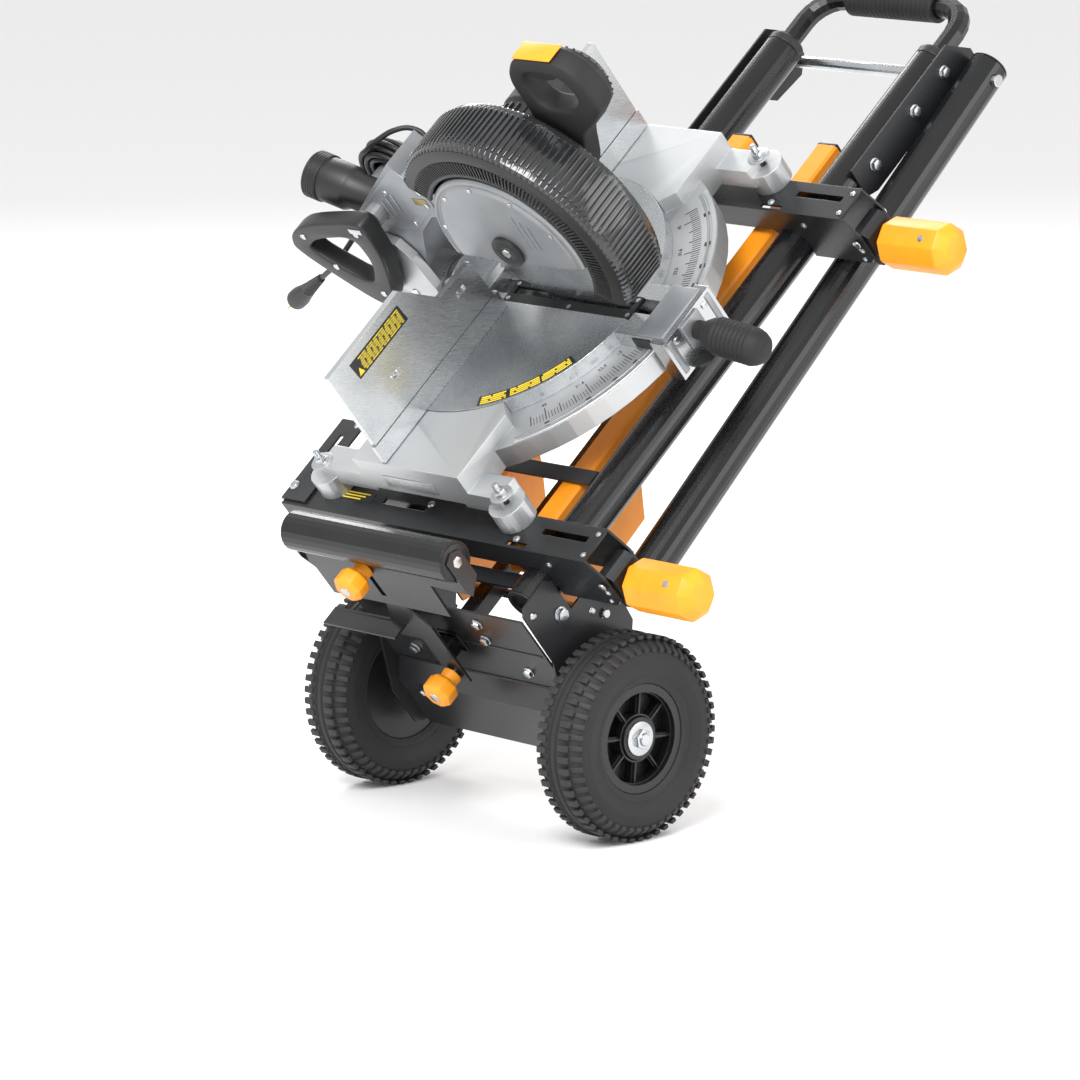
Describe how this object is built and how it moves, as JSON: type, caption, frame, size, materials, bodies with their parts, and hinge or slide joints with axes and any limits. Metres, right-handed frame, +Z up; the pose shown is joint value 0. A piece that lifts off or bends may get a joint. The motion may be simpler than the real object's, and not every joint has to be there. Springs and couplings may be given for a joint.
{
  "type": "mitre saw on stand",
  "caption": "Compound mitre saw clamped to a folding wheeled stand, tipped back on its wheels with the legs folded, for moving.",
  "frame": {"origin": "on the ground under the middle of the object's box, its power cord left out", "axes": "+X along the wheel axle towards the front of the saw, +Y over the ground from the wheels towards the pull handle, +Z up"},
  "size_m": [0.8956, 0.9534, 0.971],
  "materials": {
    "black_sheet": "satin black powder coat",
    "black_tube": "satin black powder coat",
    "orange_paint": "satin orange paint",
    "orange_plastic": "moulded orange plastic",
    "tyre_rubber": "black rubber",
    "rim_plastic": "moulded black plastic",
    "zinc_steel": "bright zinc plate",
    "cast_aluminium": "die cast, blasted",
    "polished_aluminium": "machined and brushed",
    "grey_paint": "grey paint on aluminium casting",
    "head_casting": "grey paint on aluminium casting",
    "black_plastic": "moulded black plastic",
    "smoked_plastic": "smoked polycarbonate",
    "blade_steel": "ground steel",
    "cord_rubber": "black rubber sheath"
  },
  "bodies": {
    "stand": {"axle": "zinc_steel", "wheel_side_plate_front": "black_sheet", "wheel_side_plate_rear": "black_sheet", "wheel_end_panel": "black_sheet", "front_rail": "black_tube", "rear_rail": "black_tube", "wheel_end_tie": "black_sheet", "mid_tie": "black_sheet", "handle_side_plate_front": "black_sheet", "handle_side_plate_rear": "black_sheet", "pull_handle": "black_tube", "pull_handle_grip": "black_plastic"},
    "wheel_front": {"tyre_front": "tyre_rubber", "rim_front": "rim_plastic"},
    "wheel_rear": {"tyre_rear": "tyre_rubber", "rim_rear": "rim_plastic"},
    "carriage": {"lower_cross_bar": "black_sheet", "upper_cross_bar": "black_sheet", "lower_bar_plate": "black_sheet", "upper_bar_plate": "black_sheet", "saw_base": "cast_aluminium", "fence_base": "polished_aluminium"},
    "lower_lever": {"lower_lever_arm": "black_sheet", "lower_lever_grip": "orange_plastic"},
    "upper_lever": {"upper_lever_arm": "black_sheet", "upper_lever_grip": "orange_plastic"},
    "outer_legs": {"outer_leg_front": "black_tube", "outer_leg_rear": "black_tube", "outer_leg_pivot_bar": "zinc_steel"},
    "inner_legs": {"inner_leg_front": "orange_paint", "inner_leg_rear": "orange_paint", "inner_leg_pivot_bar": "zinc_steel"},
    "support": {"support_arm": "black_tube", "support_bracket": "black_sheet"},
    "roller_plate": {"roller_plate": "black_sheet"},
    "roller": {"end_roller": "black_tube"},
    "height_knob": {"roller_height_knob": "orange_plastic"},
    "lock_knob": {"arm_lock_knob": "orange_plastic"},
    "turntable": {"turntable": "polished_aluminium", "kerf_plate": "black_plastic"},
    "mitre_grip": {"mitre_lock_grip": "black_plastic"},
    "detent": {"detent_lever": "black_plastic"},
    "bevel": {"bevel_housing": "cast_aluminium"},
    "head": {"head_casting": "head_casting", "guard_side_cover": "grey_paint", "motor_housing": "black_plastic", "main_handle": "black_plastic", "dust_port": "black_plastic", "rear_carry_handle": "black_plastic", "cord_gland": "black_plastic", "cord_coil": "cord_rubber", "cord_from_saw": "cord_rubber", "cord_to_plug": "cord_rubber", "cord_plug": "cord_rubber"},
    "trigger": {"trigger": "black_plastic"},
    "blade": {"saw_blade": "blade_steel", "arbor": "zinc_steel"},
    "guard": {"lower_guard": "smoked_plastic"},
    "left_fence": {"sliding_fence_left": "polished_aluminium"},
    "right_fence": {"sliding_fence_right": "polished_aluminium"}
  },
  "joints": [
    {"name": "front_wheel_spin", "type": "hinge", "parent": "stand", "child": "wheel_front", "pos_m": [0.2035, -0.23392, 0.12664], "axis": [1, 0, 0], "continuous": true},
    {"name": "rear_wheel_spin", "type": "hinge", "parent": "stand", "child": "wheel_rear", "pos_m": [-0.2155, -0.23392, 0.12664], "axis": [1, 0, 0], "continuous": true},
    {"name": "carriage_slide", "type": "slide", "parent": "stand", "child": "carriage", "axis": [0, 0.7627, 0.6468], "range_m": [0, 0.045]},
    {"name": "lower_lever_swing", "type": "hinge", "parent": "carriage", "child": "lower_lever", "pos_m": [0.24, -0.28815, 0.34288], "axis": [0, -0.7627, -0.6468], "range_deg": [0, 55]},
    {"name": "upper_lever_swing", "type": "hinge", "parent": "carriage", "child": "upper_lever", "pos_m": [0.24, 0.14581, 0.71091], "axis": [0, -0.7627, -0.6468], "range_deg": [0, 55]},
    {"name": "outer_leg_fold", "type": "hinge", "parent": "stand", "child": "outer_legs", "pos_m": [-0.006, 0.41396, 0.87014], "axis": [1, 0, 0], "range_deg": [0, 90]},
    {"name": "inner_leg_fold", "type": "hinge", "parent": "stand", "child": "inner_legs", "pos_m": [-0.006, -0.22233, 0.26759], "axis": [-1, 0, 0], "range_deg": [0, 90]},
    {"name": "support_extend", "type": "slide", "parent": "stand", "child": "support", "axis": [0, -0.7627, -0.6468], "range_m": [0, 0.25]},
    {"name": "roller_height", "type": "slide", "parent": "support", "child": "roller_plate", "axis": [0, -0.6468, 0.7627], "range_m": [0, 0.04]},
    {"name": "roller_spin", "type": "hinge", "parent": "roller_plate", "child": "roller", "pos_m": [-0.006, -0.4518, 0.35882], "axis": [1, 0, 0], "continuous": true},
    {"name": "height_knob_turn", "type": "hinge", "parent": "support", "child": "height_knob", "pos_m": [-0.041, -0.44682, 0.31584], "axis": [0, 0.7627, 0.6468], "continuous": true},
    {"name": "lock_knob_turn", "type": "hinge", "parent": "support", "child": "lock_knob", "pos_m": [-0.018, -0.32393, 0.17094], "axis": [0, 0.7627, 0.6468], "continuous": true},
    {"name": "mitre_swing", "type": "hinge", "parent": "carriage", "child": "turntable", "pos_m": [-0.094, -0.11638, 0.60958], "axis": [0, 0.6468, -0.7627], "range_deg": [-45, 45]},
    {"name": "mitre_grip_twist", "type": "hinge", "parent": "turntable", "child": "mitre_grip", "pos_m": [0.1963, -0.11554, 0.60859], "axis": [0.9781, 0.1345, -0.1586], "range_deg": [0, 120]},
    {"name": "detent_press", "type": "hinge", "parent": "turntable", "child": "detent", "pos_m": [0.2, -0.0929, 0.5819], "axis": [0, 0.7627, 0.6468], "range_deg": [0, 8], "stiffness_Nm_per_rad": 0.4},
    {"name": "bevel_tilt", "type": "hinge", "parent": "turntable", "child": "bevel", "pos_m": [-0.183, -0.12912, 0.6246], "axis": [1, 0, 0], "range_deg": [0, 45]},
    {"name": "head_raise", "type": "hinge", "parent": "bevel", "child": "head", "pos_m": [-0.228, -0.18604, 0.69172], "axis": [0, -0.7627, -0.6468], "range_deg": [0, 50]},
    {"name": "trigger_squeeze", "type": "hinge", "parent": "head", "child": "trigger", "pos_m": [0.118, -0.30539, 0.93141], "axis": [0, -0.7627, -0.6468], "range_deg": [0, 8], "stiffness_Nm_per_rad": 0.3},
    {"name": "blade_spin", "type": "hinge", "parent": "head", "child": "blade", "pos_m": [0.024, -0.21967, 0.73138], "axis": [0, 0.7627, 0.6468], "continuous": true},
    {"name": "guard_swing", "type": "hinge", "parent": "head", "child": "guard", "pos_m": [0.024, -0.21967, 0.73138], "axis": [0, -0.7627, -0.6468], "range_deg": [-100, 0]},
    {"name": "left_fence_slide", "type": "slide", "parent": "carriage", "child": "left_fence", "axis": [0, -0.7627, -0.6468], "range_m": [0, 0.075]},
    {"name": "right_fence_slide", "type": "slide", "parent": "carriage", "child": "right_fence", "axis": [0, 0.7627, 0.6468], "range_m": [0, 0.06]}
  ],
  "couplings": [
    {"joint": "guard_swing", "follows": "head_raise", "ratio": -2},
    {"joint": "left_fence_slide", "follows": "bevel_tilt", "m_per_rad": 0.0954}
  ]
}
